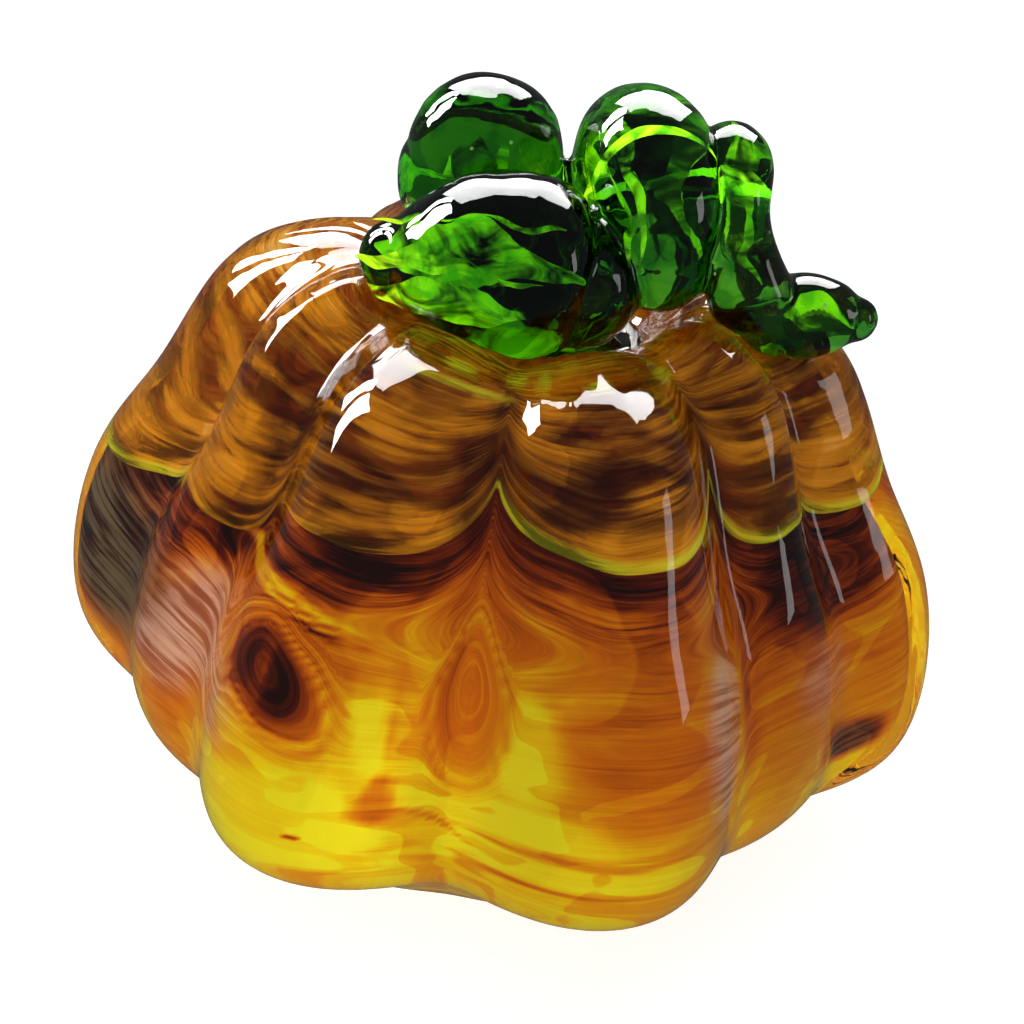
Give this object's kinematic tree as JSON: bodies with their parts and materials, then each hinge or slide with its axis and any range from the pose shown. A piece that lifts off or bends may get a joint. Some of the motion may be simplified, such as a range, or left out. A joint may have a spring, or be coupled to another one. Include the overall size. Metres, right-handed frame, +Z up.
{
  "type": "glass pumpkin figurine",
  "caption": "Ribbed, cased glass pumpkin with amber and yellow colour under a clear outer gather, a flat resting ring and a coiled green glass stem with a drawn-out tail.",
  "frame": {"origin": "middle of the figure's outline seen from above, on the table", "axes": "+Z up, -Y the front, +X towards the stem's tail"},
  "size_m": [0.0938, 0.0898, 0.0813],
  "materials": {
    "clear_glass": "clear, fire polished",
    "amber_glass": "transparent amber with brown and orange streaks",
    "yellow_glass": "opal lemon yellow, swirled",
    "lining_glass": "clear, smooth",
    "green_glass": "transparent bottle green with lime streaks, fire polished"
  },
  "bodies": {
    "root": {"clear_casing": "clear_glass", "amber_layer": "amber_glass", "yellow_layer": "yellow_glass", "inner_gather": "lining_glass", "pontil_button": "clear_glass", "stem_seal": "green_glass", "stem_front_lobe": "green_glass", "stem_back_lobe": "green_glass", "stem_middle_loop": "green_glass", "stem_end_loop": "green_glass", "stem_tail": "green_glass"}
  },
  "joints": []
}
